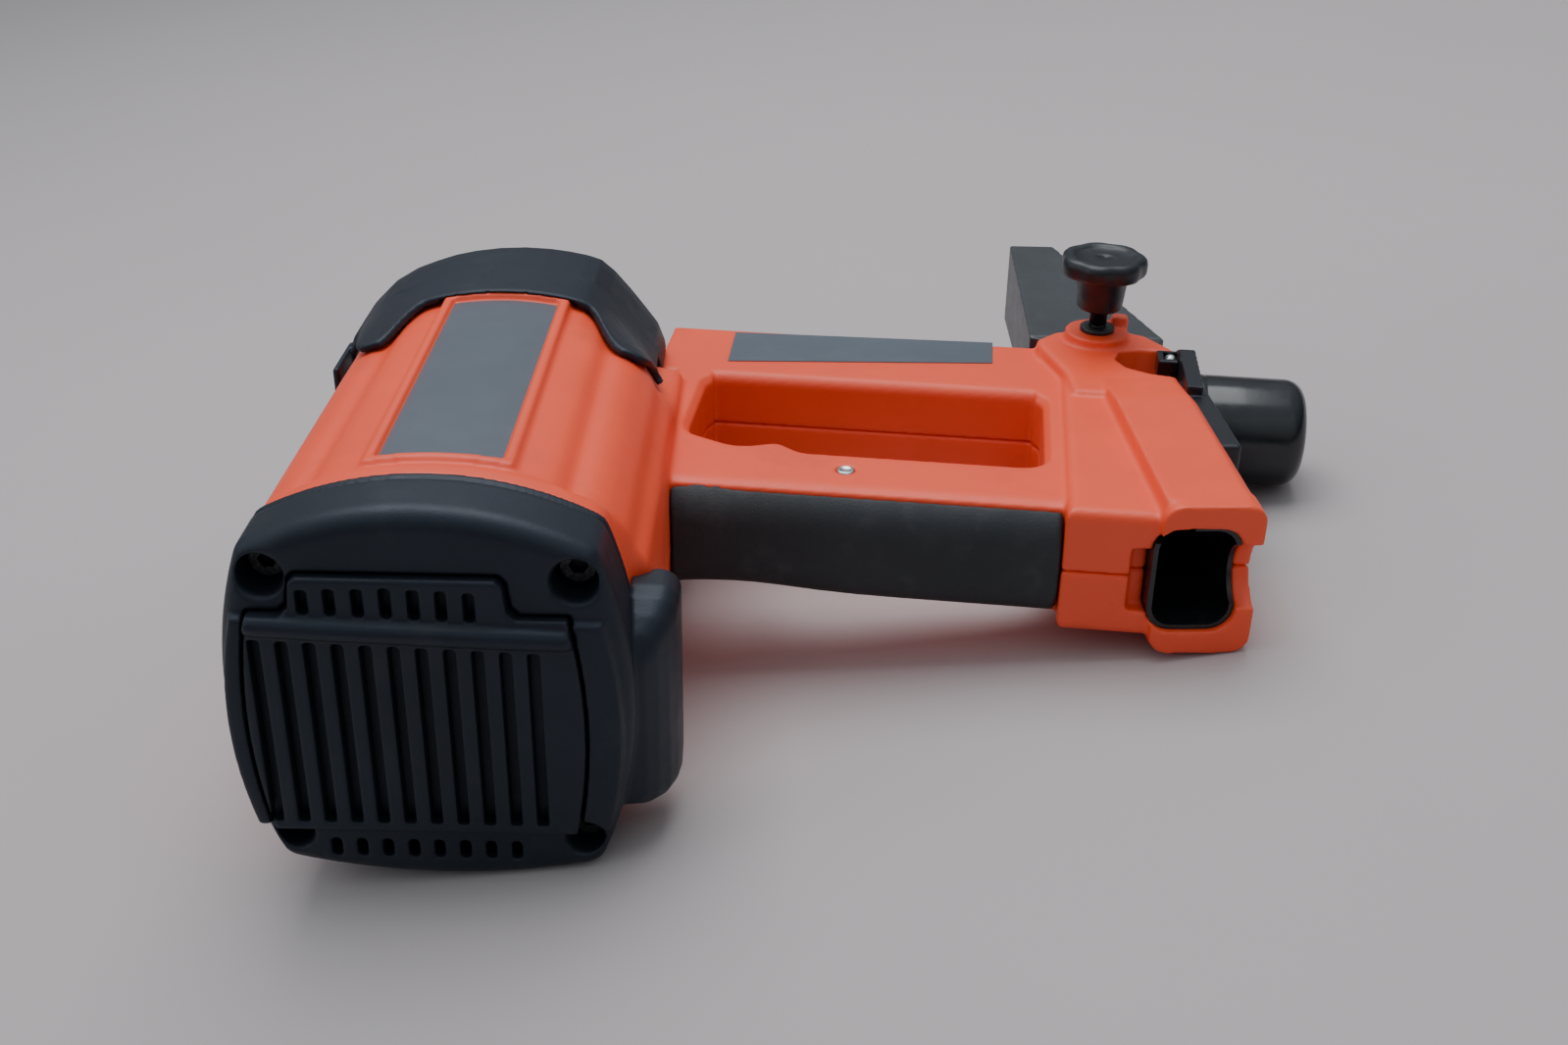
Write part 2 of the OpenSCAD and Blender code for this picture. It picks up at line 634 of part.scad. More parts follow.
module knob_washer() color(steel) placed() handle_frame() translate([knob_u, knob_v, pad_top]) difference() {
    cylinder(r = 7.1, h = 2);
    translate([0, 0, -1]) cylinder(r = 3.3, h = 4);
}

housing_right();
housing_left();
housing_screws();
nameplate();
rail_label();
grip_cover();
handle_pin();
rear_cap();
cap_grille();
cap_screws();
air_filter();
front_hood();
cylinder_head();
fan_motor();
fan();
spark_plug();
combustion_sleeve();
drive_cylinder();
piston();
piston_ring();
driver_blade();
bumper();
nose_flange();
nose_screws();
nose_barrel();
probe();
lift_rods();
probe_spring();
fuel_can();
metering_valve();
can_spring();
end_plate();
fuel_cap();
detent_clip();
detent_ball();
trigger();
trigger_spring();
trigger_switch();
spark_unit();
control_board();
battery_liner();
battery_contacts();
support_arm();
knob_nut();
knob();
knob_screw();
knob_washer();
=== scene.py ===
import json
import math
import bpy
import bmesh
from mathutils import Matrix, Vector


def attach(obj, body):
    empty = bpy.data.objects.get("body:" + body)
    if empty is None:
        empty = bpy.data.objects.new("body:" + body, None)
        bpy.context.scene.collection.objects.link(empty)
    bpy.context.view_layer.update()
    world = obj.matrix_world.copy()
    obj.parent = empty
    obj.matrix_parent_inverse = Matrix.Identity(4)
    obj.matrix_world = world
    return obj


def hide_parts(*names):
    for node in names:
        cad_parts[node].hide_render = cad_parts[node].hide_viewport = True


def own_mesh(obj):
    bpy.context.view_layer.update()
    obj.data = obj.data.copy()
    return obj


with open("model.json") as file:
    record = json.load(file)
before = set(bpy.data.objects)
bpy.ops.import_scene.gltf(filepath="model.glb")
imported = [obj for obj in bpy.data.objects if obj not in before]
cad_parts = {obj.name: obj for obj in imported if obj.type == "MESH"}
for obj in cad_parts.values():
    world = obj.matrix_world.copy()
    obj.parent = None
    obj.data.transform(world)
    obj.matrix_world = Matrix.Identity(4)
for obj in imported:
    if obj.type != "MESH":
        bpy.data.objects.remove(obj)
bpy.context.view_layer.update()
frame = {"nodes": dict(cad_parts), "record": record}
nodes = frame["nodes"]

# ---------- frames: millimetres in the tool frame, then laid down as in part.scad ----------
LEAN = math.radians(8.3)
DOME_R, CAP_HALF_T = 110.0, 66.5
CENTRE = (122.15, 186.0)
LIFT = DOME_R - (DOME_R - CAP_HALF_T) * math.cos(LEAN)
TURN = Matrix.Rotation(LEAN, 4, "Y")
PLACE = Matrix.Scale(0.001, 4) @ Matrix.Translation((-CENTRE[0], -CENTRE[1], LIFT)) @ TURN
HANDLE = Matrix.Translation((66, 214, 0)) @ Matrix.Rotation(math.radians(-6), 4, "Z")
POCKET = HANDLE @ Matrix.Translation((178, 0, 0)) @ Matrix.Rotation(math.radians(9.2), 4, "Z")
ALONG_Y = Matrix.Rotation(math.radians(90), 4, "X")  # plan (x, y) becomes (x, z), extruded towards -y
Y_UP = Matrix.Rotation(math.radians(-90), 4, "X")  # what stands on z points along the drive axis
HALF_T = 21.5
RAIL_V = 25
CAP_HALF_W, SIDE_R, CAP_CORNER = 62.5, 150.0, 16.0
UNDER_R, UNDER_CORNER_R = 200.0, 77.5
UNDER_HALF_T = UNDER_R - (UNDER_R - LIFT) / math.cos(LEAN)


def smoothstep(t):
    t = min(1.0, max(0.0, t))
    return t * t * (3 - 2 * t)


# ---------- meshes ----------
def make(name, verts, faces):
    me = bpy.data.meshes.new(name)
    me.from_pydata([tuple(v) for v in verts], [], faces)
    me.validate()
    bm = bmesh.new()
    bm.from_mesh(me)
    bmesh.ops.recalc_face_normals(bm, faces=bm.faces)
    bm.to_mesh(me)
    bm.free()
    o = bpy.data.objects.new(name, me)
    bpy.context.scene.collection.objects.link(o)
    return o


def loft(name, rings, closed=False):
    """A surface through rings of points, all of one length: capped, or closed on itself."""
    n = len(rings[0])
    verts = [p for ring in rings for p in ring]
    faces = []
    count = len(rings)
    for i in range(count if closed else count - 1):
        j = (i + 1) % count
        for k in range(n):
            m = (k + 1) % n
            faces.append((i * n + k, i * n + m, j * n + m, j * n + k))
    if not closed:
        faces.append(tuple(range(n)))
        faces.append(tuple(range((count - 1) * n, count * n)))
    return make(name, verts, faces)


def prism(outline, z0, z1, frame_m=Matrix(), bevel=0.0, steps=4):
    """A plan outline extruded from z0 to z1, with its flat ends' edges rounded."""
    bm = bmesh.new()
    low = [bm.verts.new((x, y, z0)) for x, y in outline]
    face = bm.faces.new(low)
    out = bmesh.ops.extrude_face_region(bm, geom=[face])
    moved = [g for g in out["geom"] if isinstance(g, bmesh.types.BMVert)]
    for v in moved:
        v.co.z = z1
    bmesh.ops.recalc_face_normals(bm, faces=bm.faces)
    if bevel:
        ends = [e for e in bm.edges if abs(e.verts[0].co.z - e.verts[1].co.z) < 1e-6]
        bmesh.ops.bevel(bm, geom=ends, offset=bevel, segments=steps, profile=0.5, affect="EDGES",
                        clamp_overlap=True)
    bm.transform(frame_m)
    me = bpy.data.meshes.new("prism")
    bm.to_mesh(me)
    bm.free()
    o = bpy.data.objects.new("prism", me)
    bpy.context.scene.collection.objects.link(o)
    return o


def block(lo, hi, frame_m=Matrix(), bevel=0.0):
    """A box between two corners, every edge rounded."""
    bm = bmesh.new()
    bmesh.ops.create_cube(bm, size=1)
    for v in bm.verts:
        v.co = Vector([lo[i] if v.co[i] < 0 else hi[i] for i in range(3)])
    if bevel:
        bmesh.ops.bevel(bm, geom=list(bm.edges), offset=bevel, segments=3, profile=0.5, affect="EDGES")
    bm.transform(frame_m)
    me = bpy.data.meshes.new("block")
    bm.to_mesh(me)
    bm.free()
    o = bpy.data.objects.new("block", me)
    bpy.context.scene.collection.objects.link(o)
    return o


def round_box(x0, y0, x1, y1, r, steps=6):
    """Plan outline of a rectangle with round corners, anticlockwise."""
    pts = []
    corners = ((x1 - r, y1 - r, 0), (x0 + r, y1 - r, 90), (x0 + r, y0 + r, 180), (x1 - r, y0 + r, 270))
    for cx, cy, a0 in corners:
        for i in range(steps + 1):
            a = math.radians(a0 + 90 * i / steps)
            pts.append((cx + r * math.cos(a), cy + r * math.sin(a)))
    return pts


def rod(p0, p1, r0, r1=None, frame_m=Matrix(), steps=48):
    """A round bar between two points."""
    p0, p1 = Vector(p0), Vector(p1)
    r1 = r0 if r1 is None else r1
    turn = (p1 - p0).to_track_quat("Z", "Y").to_matrix()
    rings = []
    for p, r in ((p0, r0), (p1, r1)):
        rings.append([frame_m @ (p + turn @ Vector((r * math.cos(a), r * math.sin(a), 0)))
                      for a in (2 * math.pi * i / steps for i in range(steps))])
    return loft("rod", rings)


def lathe(profile, frame_m=Matrix(), steps=96, closed=False, shape=None):
    """A profile of (radius, height) points turned about Z; shape(angle, radius) may change the radius."""
    rings = []
    for r, z in profile:
        ring = []
        for i in range(steps):
            a = 2 * math.pi * i / steps
            rr = shape(a, r) if shape else r
            ring.append(frame_m @ Vector((rr * math.cos(a), rr * math.sin(a), z)))
        rings.append(ring)
    return loft("lathe", rings, closed)


def join(objs):
    """One mesh of several separate solids."""
    bm = bmesh.new()
    for o in objs:
        bm.from_mesh(o.data)
        bpy.data.objects.remove(o)
    me = bpy.data.meshes.new("joined")
    bm.to_mesh(me)
    bm.free()
    o = bpy.data.objects.new("joined", me)
    bpy.context.scene.collection.objects.link(o)
    return o


def baked(o):
    """o with its modifiers applied."""
    dg = bpy.context.evaluated_depsgraph_get()
    dg.update()
    me = bpy.data.meshes.new_from_object(o.evaluated_get(dg))
    o.modifiers.clear()
    o.data = me
    return o


def carve(base, adds=(), cuts=(), keep=None):
    """base with adds joined on, cuts taken away and only what lies in keep left."""
    for kind, group in (("UNION", adds), ("DIFFERENCE", cuts), ("INTERSECT", [keep] if keep else [])):
        for tool in group:
            m = base.modifiers.new("b", "BOOLEAN")
            m.operation, m.solver, m.object = kind, "EXACT", tool
            baked(base)
            bpy.data.objects.remove(tool)
    return base


def copy(o):
    """A second object with a mesh of its own."""
    c = o.copy()
    c.data = o.data.copy()
    bpy.context.scene.collection.objects.link(c)
    return c


def mould(o, name, voxel, passes, material, node):
    """The moulded piece: evened out with small voxels, edges softened, then named, laid down and given its
    material and body.
    """
    m = o.modifiers.new("v", "REMESH")
    m.mode, m.voxel_size, m.use_smooth_shade = "VOXEL", voxel, True
    s = o.modifiers.new("s", "SMOOTH")
    s.factor, s.iterations = 0.5, passes
    baked(o)
    return settle(o, name, material, "tool_body", node)


def settle(o, name, material, body, node, smooth=True):
    """Names a finished piece, lays it down, gives it material and body, and hides the node it stands for."""
    o.name = name
    o.data.name = name
    o.data.transform(PLACE)
    for p in o.data.polygons:
        p.use_smooth = smooth
    o.data.materials.clear()
    o.data.materials.append(material)
    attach(o, body)
    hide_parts(node)
    return o


def crease(o, angle=35):
    """Flat faces stay flat: edges sharper than the angle are split in shading."""
    o.data.set_sharp_from_angle(angle=math.radians(angle))
    return o


# ---------- materials ----------
def shader(name, base, rough, metallic=0.0, spec=0.5, tint=(1, 1, 1),
           patch=0.0, patch_scale=30.0, dirt=None, dirt_amount=0.0, dirt_scale=45.0,
           grain=0.0, grain_scale=2500.0, rough_var=0.06, wear=None, wear_amount=0.0, brushed=None):
    """A procedural finish: uneven tone, smudges, worn edges, and fine grain in roughness and bump."""
    m = bpy.data.materials.new(name)
    m.use_nodes = True
    nt = m.node_tree
    new, link = nt.nodes.new, nt.links.new
    p = nt.nodes["Principled BSDF"]
    p.inputs["Metallic"].default_value = metallic
    p.inputs["Specular IOR Level"].default_value = spec
    p.inputs["Specular Tint"].default_value = (*tint, 1)
    coord = new("ShaderNodeTexCoord")
    where = new("ShaderNodeMapping")
    link(coord.outputs["Object"], where.inputs["Vector"])
    if brushed:
        where.inputs["Scale"].default_value = brushed

    def noise(scale, detail=4, rough_n=0.55, src=None):
        n = new("ShaderNodeTexNoise")
        n.inputs["Scale"].default_value = scale
        n.inputs["Detail"].default_value = detail
        n.inputs["Roughness"].default_value = rough_n
        link((src or coord).outputs["Object" if src is None else "Vector"], n.inputs["Vector"])
        return n

    def span(src, lo, hi, a, b):
        r = new("ShaderNodeMapRange")
        for k, v in zip(("From Min", "From Max", "To Min", "To Max"), (lo, hi, a, b)):
            r.inputs[k].default_value = v
        link(src, r.inputs["Value"])
        return r.outputs["Result"]

    def mix(a, b, fac):
        x = new("ShaderNodeMix")
        x.data_type = "RGBA"
        for key, v in (("A", a), ("B", b)):
            sock = [s for s in x.inputs if s.name == key and s.type == "RGBA"][0]
            if isinstance(v, tuple):
                sock.default_value = (*v, 1)
            else:
                link(v, sock)
        link(fac, x.inputs["Factor"])
        return [s for s in x.outputs if s.type == "RGBA"][0]

    tone = noise(patch_scale)
    dark = tuple(c * (1 - patch) for c in base)
    light = tuple(min(1.0, c * (1 + patch)) for c in base)
    colour = mix(dark, light, span(tone.outputs["Fac"], 0.3, 0.7, 0, 1))
    fine = noise(900, 6, 0.6)
    if dirt:
        d = noise(dirt_scale, 8, 0.62)
        spots = span(d.outputs["Fac"], 0.56, 0.76, 0, dirt_amount)
        colour = mix(colour, dirt, spots)
        d2 = noise(dirt_scale * 7, 6, 0.7)
        colour = mix(colour, dirt, span(d2.outputs["Fac"], 0.66, 0.78, 0, dirt_amount * 0.7))
    if wear:
        geo = new("ShaderNodeNewGeometry")
        edge = span(geo.outputs["Pointiness"], 0.535, 0.60, 0, 1)
        rub = new("ShaderNodeMath")
        rub.operation = "MULTIPLY"
        link(edge, rub.inputs[0])
        link(span(fine.outputs["Fac"], 0.42, 0.62, 0, wear_amount), rub.inputs[1])
        colour = mix(colour, wear, rub.outputs[0])
    link(colour, p.inputs["Base Color"])
    rn = noise(patch_scale * 5, 6, 0.6, where if brushed else None)
    link(span(rn.outputs["Fac"], 0.25, 0.75, rough - rough_var, rough + rough_var), p.inputs["Roughness"])
    if grain:
        g = noise(grain_scale, 3, 0.5, where if brushed else None)
        bump = new("ShaderNodeBump")
        bump.inputs["Strength"].default_value = grain
        bump.inputs["Distance"].default_value = 0.0002
        link(g.outputs["Fac"], bump.inputs["Height"])
        link(bump.outputs["Normal"], p.inputs["Normal"])
    return m


GRIME = (0.10, 0.035, 0.02)
orange = shader("orange_moulding", (0.93, 0.076, 0.019), 0.50, spec=0.62, patch=0.05, patch_scale=18,
                dirt=GRIME, dirt_amount=0.16, dirt_scale=26, grain=0.25, grain_scale=1800,
                wear=(0.95, 0.22, 0.08), wear_amount=0.35)
charcoal = shader("charcoal_moulding", (0.0085, 0.0115, 0.018), 0.48, spec=0.40, tint=(0.78, 0.86, 1.0),
                  patch=0.14, patch_scale=24, dirt=(0.05, 0.052, 0.052), dirt_amount=0.22, dirt_scale=34,
                  grain=0.35, grain_scale=1500,
                  wear=(0.10, 0.11, 0.12), wear_amount=0.35)
rubber = shader("grip_rubber", (0.022, 0.025, 0.029), 0.62, spec=0.42, patch=0.16, patch_scale=30,
                dirt=(0.09, 0.085, 0.08), dirt_amount=0.25, dirt_scale=60, grain=0.6, grain_scale=1200)
gloss_black = shader("black_moulding", (0.003, 0.0045, 0.007), 0.20, spec=0.6, patch=0.2, patch_scale=40,
                     dirt=(0.05, 0.05, 0.05), dirt_amount=0.2, dirt_scale=80, grain=0.12, grain_scale=1400,
                     wear=(0.08, 0.08, 0.085), wear_amount=0.3)
black = shader("black_trim", (0.006, 0.009, 0.014), 0.38, spec=0.5, patch=0.2, patch_scale=40,
               dirt=(0.06, 0.058, 0.055), dirt_amount=0.2, dirt_scale=70, grain=0.3, grain_scale=1500)
arm_paint = shader("arm_paint", (0.045, 0.049, 0.055), 0.40, metallic=0.25, spec=0.5, patch=0.1,
                   patch_scale=30, dirt=(0.10, 0.10, 0.10), dirt_amount=0.2, dirt_scale=90,
                   grain=0.5, grain_scale=900,
                   wear=(0.25, 0.25, 0.26), wear_amount=0.5)
steel = shader("steel", (0.62, 0.62, 0.60), 0.28, metallic=1.0, patch=0.05, patch_scale=60,
               dirt=(0.25, 0.22, 0.18), dirt_amount=0.25, dirt_scale=120,
               grain=0.2, grain_scale=300, brushed=(1, 8, 1))
dark_steel = shader("dark_steel", (0.035, 0.035, 0.038), 0.46, metallic=0.6, patch=0.1, patch_scale=60,
                    dirt=(0.03, 0.025, 0.02), dirt_amount=0.4, dirt_scale=120, grain=0.2, grain_scale=400,
                    wear=(0.16, 0.16, 0.16), wear_amount=0.5)
cast = shader("cast_alloy", (0.50, 0.50, 0.49), 0.45, metallic=0.9, patch=0.06, patch_scale=50,
              dirt=(0.2, 0.19, 0.17), dirt_amount=0.3, dirt_scale=90, grain=0.6, grain_scale=700)
plate_grey = shader("plate_grey", (0.092, 0.108, 0.130), 0.36, spec=0.5, patch=0.05, patch_scale=14,
                    dirt=(0.12, 0.12, 0.12), dirt_amount=0.2, dirt_scale=60, grain=0.15, grain_scale=900)
label_slate = shader("label_slate", (0.085, 0.105, 0.128), 0.36, spec=0.6, patch=0.08, patch_scale=30,
                     dirt=(0.10, 0.10, 0.10), dirt_amount=0.2, dirt_scale=80, grain=0.1, grain_scale=900)
brass = shader("brass", (0.66, 0.47, 0.18), 0.3, metallic=1.0, patch=0.08, patch_scale=70,
               grain=0.2, grain_scale=500)
foam = shader("filter_foam", (0.30, 0.28, 0.23), 0.9, patch=0.2, patch_scale=300, dirt=(0.1, 0.09, 0.07),
              dirt_amount=0.5, dirt_scale=200, grain=1.0, grain_scale=900)
board = shader("board_green", (0.02, 0.10, 0.05), 0.4, patch=0.1, patch_scale=90,
               grain=0.2, grain_scale=900)
ceramic = shader("ceramic", (0.78, 0.76, 0.70), 0.2, patch=0.04, patch_scale=90, grain=0.1, grain_scale=900)
liner_black = shader("liner_black", (0.010, 0.011, 0.013), 0.30, spec=0.5, patch=0.2, patch_scale=40,
                     dirt=(0.06, 0.06, 0.06), dirt_amount=0.3, dirt_scale=60, grain=0.15, grain_scale=900)

FINISH = {
    "orange_moulding": orange, "charcoal_moulding": charcoal, "black_moulding": black,
    "grip_rubber": rubber, "plate_grey": plate_grey, "label_slate": label_slate,
    "steel": steel, "dark_steel": dark_steel,
    "cast_alloy": cast, "arm_paint": arm_paint, "brass": brass, "filter_foam": foam, "board_green": board,
    "ceramic": ceramic,
}
slots = {s["node"]: s["material_slot"] for s in frame["record"]["subparts"]}
for name, o in nodes.items():
    look = liner_black if name == "battery_liner" else FINISH[slots[name]]
    if not o.data.materials:
        o.data.materials.append(look)
    for i in range(len(o.data.materials)):
        o.data.materials[i] = look


# ---------- outlines ----------
BODY_QUARTER = [(x, 63.5 - DOME_R + math.sqrt(DOME_R ** 2 - x * x)) for x in range(0, 37, 4)]
BODY_QUARTER += [(38.5, 55.3), (40, 53), (43.5, 53.2), (47, 52.4), (52, 49.5), (57.5, 43), (60, 36), (64, 31)]
BODY_QUARTER += [(65.5, 20), (66, 0)]
STEPS = 288


def radial(inside):
    """The distance from the drive axis to an outline, all the way round."""
    out = []
    for i in range(STEPS):
        a = 2 * math.pi * i / STEPS
        c, s = math.cos(a), math.sin(a)
        lo, hi = 20.0, 120.0
        for _ in range(24):
            mid = (lo + hi) / 2
            if inside(mid * c, mid * s):
                lo = mid
            else:
                hi = mid
        out.append(lo)
    return out


def in_body(x, z):
    """Inside the body's outline, which is the same in all four quarters."""
    x, z = abs(x), abs(z)
    if x >= 66:
        return False
    for (x0, z0), (x1, z1) in zip(BODY_QUARTER, BODY_QUARTER[1:]):
        if x0 <= x <= x1:
            return z <= z0 + (z1 - z0) * (x - x0) / (x1 - x0)
    return False


def in_cap(x, z, shrink=0.0):
    """Inside the cap's outline: domed top, flatter underside, bowed sides and round corners."""
    arcs = [(0, CAP_HALF_T - DOME_R, DOME_R), (0, UNDER_R - UNDER_HALF_T, UNDER_R), (0, 0, UNDER_CORNER_R),
            (CAP_HALF_W - SIDE_R, 0, SIDE_R), (SIDE_R - CAP_HALF_W, 0, SIDE_R)]
    if any(math.hypot(x - cx, z - cz) > r - shrink for cx, cz, r in arcs):
        return False
    qx, qz = abs(x) - (CAP_HALF_W - CAP_CORNER), abs(z) - (CAP_HALF_T - CAP_CORNER)
    if qx > 0 and qz > 0:
        return math.hypot(qx, qz) <= CAP_CORNER - shrink
    return max(qx, qz) <= CAP_CORNER - shrink


def soften(radii, times=2):
    """Radii averaged with their neighbours, so that corners become round."""
    for _ in range(times):
        radii = [(radii[i - 1] + 2 * radii[i] + radii[(i + 1) % len(radii)]) / 4 for i in range(len(radii))]
    return radii


def ring_at(radii, y, grow=0.0, sx=1.0, sz=1.0):
    """The outline at y, grown by a margin and scaled in width and height."""
    ring = []
    for i, r in enumerate(radii):
        a = 2 * math.pi * i / len(radii)
        ring.append(((r + grow) * math.cos(a) * sx, y, (r + grow) * math.sin(a) * sz))
    return ring


def dome(x, r=DOME_R, drop=0.0):
    """Height of the shared dome over the tool's middle line."""
    return CAP_HALF_T - drop - DOME_R + math.sqrt(r ** 2 - x * x)


HOOD_TOP = [(-69, 0), (-69, 27), (-66, 36), (-60.5, 44), (-53, 51.5), (-44, 57), (-36, 60.2)]
HOOD_TOP += [(x, dome(x)) for x in (-28, -20, -10, 0, 10, 18, 25)]
HOOD_TOP += [(30.5, 61.8), (36, 57), (42, 49.8), (47.6, 42.4), (52.8, 35.2), (55.4, 28), (57.2, 17), (57.8, 0)]


def mirror_loop(upper):
    """A closed outline from its upper half."""
    return upper + [(x, -z) for x, z in upper[-2:0:-1]]


def in_loop(x, z, loop):
    """Inside a closed outline."""
    inside = False
    for (x0, z0), (x1, z1) in zip(loop, loop[1:] + loop[:1]):
        if (z0 > z) != (z1 > z) and x < x0 + (x1 - x0) * (z - z0) / (z1 - z0):
            inside = not inside
    return inside


hood_loop = mirror_loop(HOOD_TOP)
HOOD_R = radial(lambda x, z: in_loop(x, z, hood_loop))
BODY_R = soften(radial(in_body), 2)
CAP_R = soften(radial(in_cap), 2)
COLLAR_R = soften(radial(lambda x, z: in_cap(x, z, 1.2)), 3)


# ---------- housing ----------
def body_at(y):
    """The body's radii at y: near its front its shoulders draw in so that they stay inside the hood."""
    k = smoothstep((y - 150) / 48)
    out = []
    for i, (b, h) in enumerate(zip(BODY_R, HOOD_R)):
        high = smoothstep((abs(b * math.sin(2 * math.pi * i / STEPS)) - 24) / 12)
        out.append(b + (min(b, h - 3.4) - b) * k * high)
    return out


def body_loft(grow=0.0, y0=30.2, y1=205.0):
    """The collar behind the cap, stepping down to the body, which tapers a little towards the front."""
    rings = [ring_at(COLLAR_R, y0, grow), ring_at(COLLAR_R, 36.5, grow)]
    for i in range(1, 11):
        k = smoothstep(i / 10)
        rings.append(ring_at([a + (b - a) * k for a, b in zip(COLLAR_R, BODY_R)], 36.5 + 0.55 * i, grow))
    for i in range(1, 17):
        t = i / 16
        y = 42 + (y1 - 42) * t
        rings.append(ring_at(body_at(y), y, grow, 1 - 0.018 * t, 1 - 0.014 * t))
    return loft("body", rings)


def arch_strip(half_w, r_low, r_high, y0, y1, low=None):
    """A strip along the dome, between two radii of the dome, or from a flat floor."""
    xs = [-half_w + 2 * half_w * i / 24 for i in range(25)]
    top = [(x, dome(x, r_high, 3)) for x in xs]
    bottom = [(x, dome(x, r_low, 3) if low is None else low) for x in xs]
    section = top + bottom[::-1]
    return loft("arch", [[(x, y, z) for x, z in section] for y in (y0, y1)])


def offset_loop(points, d):
    """A closed plan outline moved outwards by d."""
    n = len(points)
    out = []
    area = sum(x0 * y1 - x1 * y0 for (x0, y0), (x1, y1) in zip(points, points[1:] + points[:1]))
    s = 1 if area > 0 else -1
    for i in range(n):
        a, b = Vector(points[i - 1]), Vector(points[(i + 1) % n])
        t = (b - a).normalized()
        out.append((points[i][0] + s * t.y * d, points[i][1] - s * t.x * d))
    return out


def window_loop():
    """Plan outline of the hand window with the finger recess and the bump beside it."""
    pts = []

    def arc(cx, cy, r, a0, a1, n=10):
        for i in range(n + 1):
            a = math.radians(a0 + (a1 - a0) * i / n)
            pts.append((cx + r * math.cos(a), cy + r * math.sin(a)))
    arc(131, -10, 10, 0, 90)
    arc(17, -9, 9, 90, 180)
    arc(20, -46, 12, 180, 230)
    arc(29, -50, 12, 240, 280, 6)
    for i in range(1, 12):
        u = 31.1 + 24 * i / 11
        pts.append((u, -61.8 + 3.4 * smoothstep((u - 31.1) / 11) - 6.6 * smoothstep((u - 43) / 12)))
    arc(132, -56, 9, 270, 360)
    return pts


def flared(loop, z_top, flare):
    """A through cutter across the handle whose mouth opens out in a rounded lip at both faces."""
    stack = [(z_top + 5, flare)]
    for i in range(7):
        a = math.radians(90 * i / 6)
        stack.append((z_top - flare * math.sin(a), flare * (1 - math.sin(a))))
    stack += [(-z, g) for z, g in reversed(stack)]
    return loft("window", [[HANDLE @ Vector((x, y, z)) for x, y in offset_loop(loop, g)] for z, g in stack])


def along_u(section, u0, u1):
    """A (v, z) outline run along the handle."""
    return loft("u", [[HANDLE @ Vector((u, v, z)) for v, z in section] for u in (u0, u1)])


def along_pocket(section, y0, y1):
    """An (x, z) outline run along the battery pocket."""
    return loft("p", [[POCKET @ Vector((x, y, z)) for x, z in section] for y in (y0, y1)])


GRIP_EDGE = -96.0  # the rubber covers the grip behind this line


def grip_loop(grow=0.0, steps=10):
    """The grip's plain (v, z) outline."""
    return round_box(-104 - grow, -HALF_T - grow, -42, HALF_T + grow, 14, steps)


def grip_section(u, loop, flare=0.0):
    """The grip's outline: waisted on its underside near the body, and flared where it meets the body."""
    flare *= math.exp(-(max(0, u - 3) / 6.5) ** 2)
    waist = -2.6 * math.exp(-((u - 36) / 26) ** 2)
    out = []
    for v, z in loop:
        low = smoothstep((6 - z) / 16)
        grown = (waist + flare) * low
        back = max(0, grown) * 0.5 * smoothstep((-85 - v) / 12)
        out.append(HANDLE @ Vector((u, v - back, z + grown * (1 if z > 0 else -1) * abs(z) / HALF_T)))
    return out


PAD = (163, 50)  # the clamp screw's place on the base
PIN = (70, -79)  # the pin's place in the handle
BASE_END = [(184, 58), (178, 60.5), (154, 59), (146, 56.5), (138.5, 47)]
BASE_PLAN = [(148, -104), (180, -104), (195, -8), (195, 44)] + BASE_END + [(138.5, 36), (148, 20)]
STEP_PLAN = [(152, -6), (194, -6), (194.5, 44)] + BASE_END + [(138.5, 41), (149, 14)]

housing = body_loft()
plate_rim = arch_strip(23.6, 0, DOME_R + 1.9, 42.8, 185.5, low=40)
rail = along_u(round_box(0, -HALF_T, 50, HALF_T, 4.5, 8), -14, 152)
grip = carve(loft("grip", [grip_section(-13 + 7.5 * i, grip_loop()) for i in range(23)]),
             cuts=[block((-20, -130, -40), (160, GRIP_EDGE, 40), HANDLE)])
neck = block((-6, -60, -HALF_T), (10, 30, HALF_T), HANDLE, bevel=2)
flange = block((-6, -112, -27), (4.4, -92, 23), HANDLE, bevel=2.5)
heel = block((138, -62, -HALF_T), (152, 30, HALF_T), HANDLE)
base = prism(BASE_PLAN, -24, 24, HANDLE, bevel=3.5, steps=4)
front_step = prism(STEP_PLAN, -26, 26, HANDLE, bevel=2.5)
boss = rod((*PAD, 20), (*PAD, 30), 13.5, 13, HANDLE)
tab = block((169, 55, 22), (176, 61.5, 34), HANDLE, bevel=1.5)
POCKET_EDGE = [(-14.6, -23), (-12.8, -29), (16, -29), (20, -25),
               (20, 25), (16, 29), (-12.8, 29), (-14.6, 23)]
pocket_block = loft("pocket", [[POCKET @ Vector((x, y, z * k)) for x, z in POCKET_EDGE]
                               for y, k in ((-100, 1), (-14, 1), (9, 26.3 / 29))])
corner = block((150, -101, -24), (178, -30, 24), HANDLE, bevel=3)
lip_ring = along_pocket(round_box(-14.6, -29, 21, 29, 6.5), -106, -93)
side_hump = block((16, -84, -15), (24.2, -54, 15), POCKET, bevel=4)
adds = [plate_rim, rail, grip, neck, flange, heel, base, front_step, boss, tab, pocket_block, lip_ring, corner,
        side_hump]

